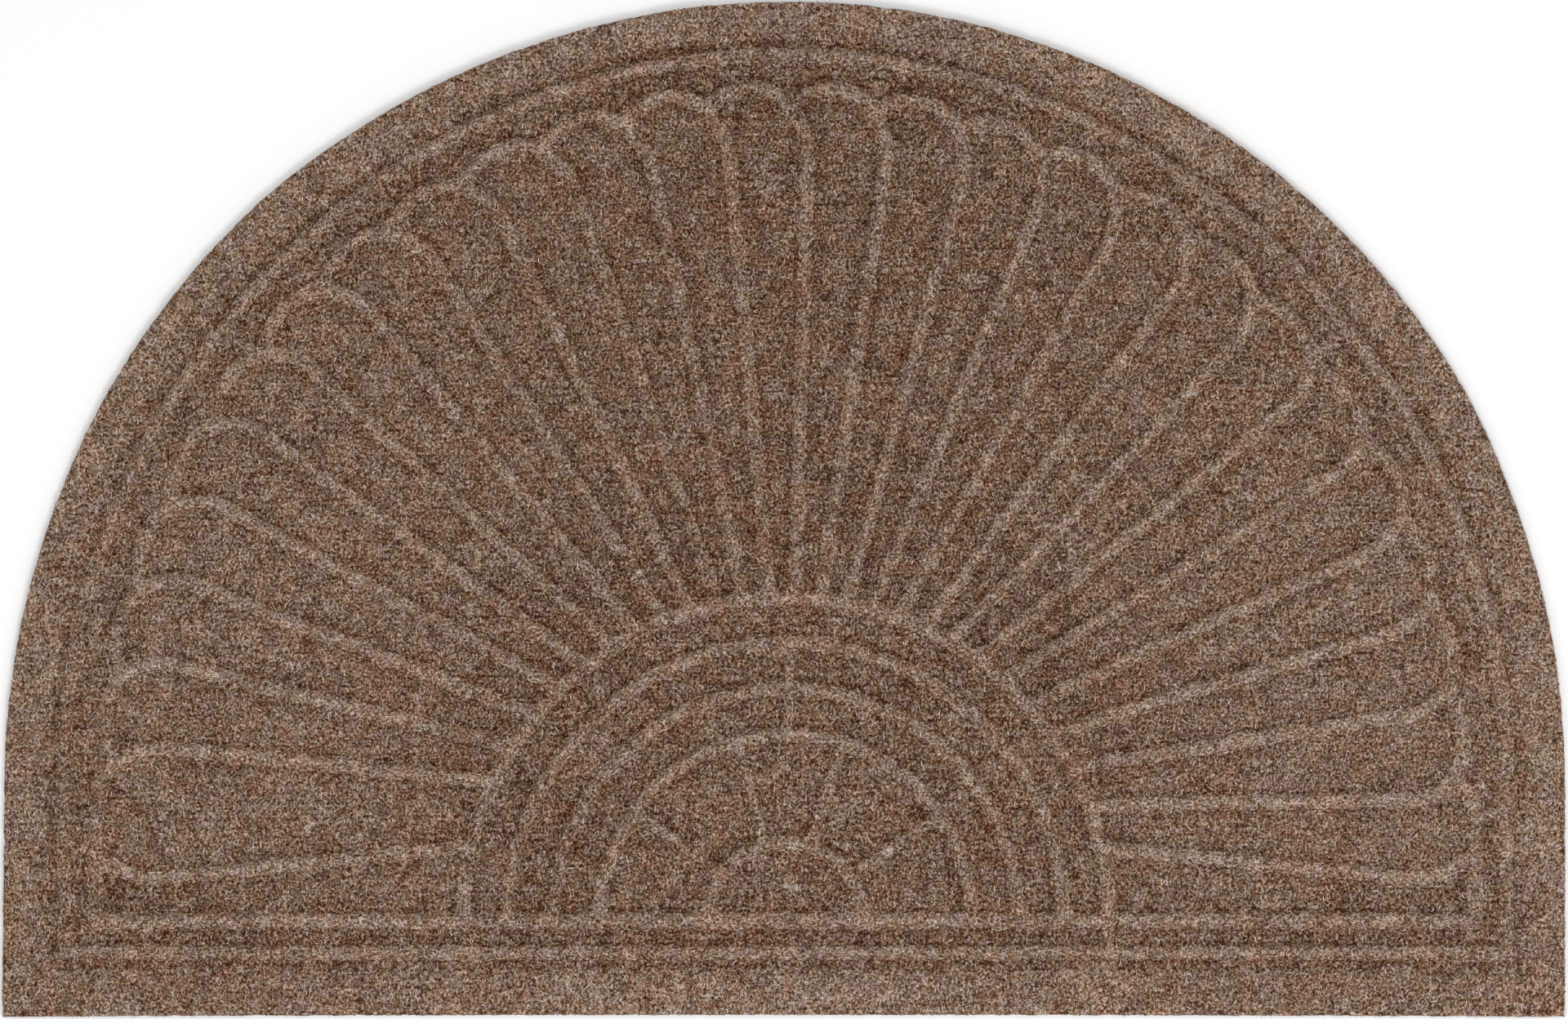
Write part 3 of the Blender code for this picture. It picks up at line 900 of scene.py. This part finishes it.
def pile_bed(name, strip, fibres_per_tuft, lengths, rise, tone_shift):
    """A bed with this many fibres in each tuft."""
    roots = np.repeat(tufts, fibres_per_tuft, axis=0)
    count = len(roots)
    on_rib = read_at(crest, roots) > 0.5
    even = random.uniform(-RIB_SPREAD, RIB_SPREAD, count)
    off_row = np.where(on_rib, even, random.normal(0, ROW_SPREAD, count))
    off_tuft = random.uniform(-TUFT_SPREAD, TUFT_SPREAD, count)
    roots = roots + np.stack([TUFT_PITCH * off_tuft, ROW_PITCH * off_row], axis=1)
    nearest, inside = nearest_on_outline(roots)
    roots = roots - outward[nearest] * np.maximum(ROOT_GAP - inside, 0)[:, None]
    across = np.pi / 2 + random.normal(0, ACROSS_ODDS, count)
    across += np.pi * random.integers(0, 2, count)
    loose = random.random(count) > np.where(on_rib, LEVELLED_ON_RIBS, LEVELLED)
    heading = np.where(loose, random.uniform(0, 2 * np.pi, count), across)
    by_edge = np.abs(read_at(rib_reach, roots) - CREST_START - CREST_RAMP / 2) < EDGE_REACH
    along_edge = np.arctan2(read_at(slope_x, roots), -read_at(slope_y, roots))
    heading = np.where(by_edge, along_edge + random.normal(0, EDGE_ODDS, count), heading)
    points = drape(
        strip,
        roots,
        heading=heading,
        length=random.uniform(*lengths, count),
        width=random.uniform(*WIDTHS, count),
        turn=random.normal(0, TURN_ODDS, count),
        rise=random.uniform(0.4, 1.0, count) * rise,
        roll=random.normal(0, ROLL_ODDS, count),
    )
    tone = MIDDLE_TONE + tone_shift + random_tones(count) + read_at(pile_shade, roots)
    hue = 0.5 + random.normal(0, HUE_SPREAD, count) + read_at(hue_shift, roots)
    return fibre_piece(name, strip, points, tone, hue)


# the deep bed's tone is lowered as painted shade, and the top bed's raised as painted light
beds = [
    pile_bed("pile_deep", LINT_STRIP, 6, (0.0014, 0.0028), 0.0005, -0.03),
    pile_bed("pile_low", LINT_STRIP, 6, (0.0014, 0.0028), 0.0007, 0.00),
    pile_bed("pile_middle", SHORT_STRIP, 3, (0.0018, 0.0038), 0.0010, 0.00),
    pile_bed("pile_top", LONG_STRIP, 2, (0.0022, 0.0048), 0.0012, 0.01),
]

# %% [markdown]
# ## The cut edge
#
# The blade went through the pile, so short cut ends stand out of the side all round. A fuzz of
# single hairs would be too fine to see, so strips are used as in the pile. They lie on the
# side in every direction, and their middles stand out by up to half a millimetre.

# %% Fibres on the cut edge
EDGE_FIBRES = 5200
EDGE_STAND = 0.0007
EDGE_LENGTHS, EDGE_WIDTHS = (0.0016, 0.0036), (0.00034, 0.00052)
EDGE_TURN = 1.4  # radians
EDGE_PLACES = (0.12, 0.97)  # shares of the edge's height
OVER_TOP = 0.0003  # how far an end may stand above the top

along, side, _ = SHORT_STRIP
spots = random.integers(0, len(outline), EDGE_FIBRES)
edge_top = read_at(felt_level, outline[spots])
slant = random.uniform(-0.5, 0.5, EDGE_FIBRES)[:, None] * np.pi
run, bend, angle = curl(along[None, :], random.uniform(*EDGE_LENGTHS, EDGE_FIBRES),
                        random.normal(0, EDGE_TURN, EDGE_FIBRES))
half = side * random.uniform(*EDGE_WIDTHS, EDGE_FIBRES)[:, None] / 2
way = slant + angle
across = run * np.cos(slant) - bend * np.sin(slant) - half * np.sin(way)
up = run * np.sin(slant) + bend * np.cos(slant) + half * np.cos(way)
stand = random.uniform(0.2, 1.0, EDGE_FIBRES)[:, None] * EDGE_STAND * (1 - 4 * along**2) - SINK
tangent = np.stack([-outward[:, 1], outward[:, 0]], axis=1)[spots]
flat_places = (
    outline[spots][:, None, :]
    + tangent[:, None, :] * across[:, :, None]
    + outward[spots][:, None, :] * stand[:, :, None]
)
heights = (random.uniform(*EDGE_PLACES, EDGE_FIBRES) * edge_top)[:, None] + up
heights = np.clip(heights, 0.0001, edge_top[:, None] + OVER_TOP)
edge_fibres = fibre_piece(
    "edge_fibres",
    SHORT_STRIP,
    np.concatenate([flat_places, heights[:, :, None]], axis=2),
    tone=MIDDLE_TONE + random_tones(EDGE_FIBRES) + read_at(shade, outline[spots]),
    hue=0.5 + random.normal(0, HUE_SPREAD, EDGE_FIBRES),
)

# %% [markdown]
# ## Stray hairs
#
# Here and there a longer, paler fibre has worked itself loose and lies in a loop on the pile.
# The same strip with more segments, bent further, makes such a loop.

# %% Loose loops
STRAYS = 260  # thrown on the mat's box; those that miss the mat are left out
STRAY_GAP = 0.006  # from the cut edge
STRAY_TONE, STRAY_TONE_ODDS = 0.68, 0.08

thrown_x = random.uniform(low.x, high.x, STRAYS)
places = np.stack([thrown_x, random.uniform(low.y, high.y, STRAYS)], axis=1)
_, inside = nearest_on_outline(places)
places = places[inside > STRAY_GAP]
count = len(places)
points = drape(
    HAIR_STRIP,
    places,
    heading=random.uniform(0, 2 * np.pi, count),
    length=random.uniform(0.005, 0.011, count),
    width=random.uniform(0.00030, 0.00042, count),
    turn=random.uniform(1.5, 5.0, count) * random.choice((-1, 1), count),
    rise=random.uniform(0.0009, 0.0014, count),
    roll=random.normal(0, 0.2, count),
)
tone = STRAY_TONE + random.normal(0, STRAY_TONE_ODDS, count)
hue = random.uniform(0.2, 0.8, count)
stray_hairs = fibre_piece("stray_hairs", HAIR_STRIP, points, tone, hue)

# %% [markdown]
# ## What belongs to what
#
# The felt stands for the solid and is the sheet of cloth. The beds lie on it and go with it.

# %% Join the pieces to the mat
fibre_pieces = [*beds, edge_fibres, stray_hairs]
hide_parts("mat")
for piece in (felt_body, *fibre_pieces):
    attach(piece, "root")

# %% [markdown]
# ## Floor, light and camera
#
# The floor is plain and pale. The light comes mostly from all round, as in a photographer's
# tent. One large soft lamp on the side of the straight edge adds a quarter to it, so that
# each rib has a light side and a dark side. The camera looks straight down from far away, as
# in the photo.

# %% Floor
floor_mesh = bpy.data.meshes.new("floor")
floor_form = bmesh.new()
bmesh.ops.create_grid(floor_form, x_segments=1, y_segments=1, size=4)
floor_form.to_mesh(floor_mesh)
floor_form.free()
floor = bpy.data.objects.new("floor", floor_mesh)
scene.collection.objects.link(floor)
floor_material, tree, shader = new_material("pale_floor", 0.6)
shader.inputs["Base Color"].default_value = (0.88, 0.88, 0.88, 1.0)
floor_mesh.materials.append(floor_material)
print("the floor has", len(floor_mesh.polygons), "face")

# %% Lights
scene.view_settings.view_transform = "Standard"
scene.world = bpy.data.worlds.new("studio")
scene.world.use_nodes = True
sky = scene.world.node_tree.nodes["Background"]
sky.inputs["Color"].default_value = (1.0, 1.0, 1.0, 1.0)
sky.inputs["Strength"].default_value = 0.95


def soft_lamp(name, place, size, power):
    lamp = bpy.data.lights.new(name, "AREA")
    lamp.shape = "DISK"
    lamp.size = size
    lamp.energy = power
    holder = bpy.data.objects.new(name, lamp)
    holder.location = place
    holder.rotation_euler = (-Vector(place)).to_track_quat("-Z", "Y").to_euler()
    scene.collection.objects.link(holder)


soft_lamp("key_lamp", (0.45, -1.7, 2.1), 1.0, 24.0)
print("world", round(sky.inputs["Strength"].default_value, 2), "and one lamp")

# %% Camera
CAMERA_HEIGHT = 3.06
VIEW_WIDTH = 0.9162  # of the photo, on the mat's face
FACE_HEIGHT = 0.006

camera = bpy.data.cameras.new("camera")
camera.sensor_width = 36.0
camera.lens = 36.0 * (CAMERA_HEIGHT - FACE_HEIGHT) / VIEW_WIDTH
camera_holder = bpy.data.objects.new("camera", camera)
camera_holder.location = (0.0002, -0.0002, CAMERA_HEIGHT)
scene.collection.objects.link(camera_holder)
scene.camera = camera_holder
print("lens", round(camera.lens, 1), "mm")
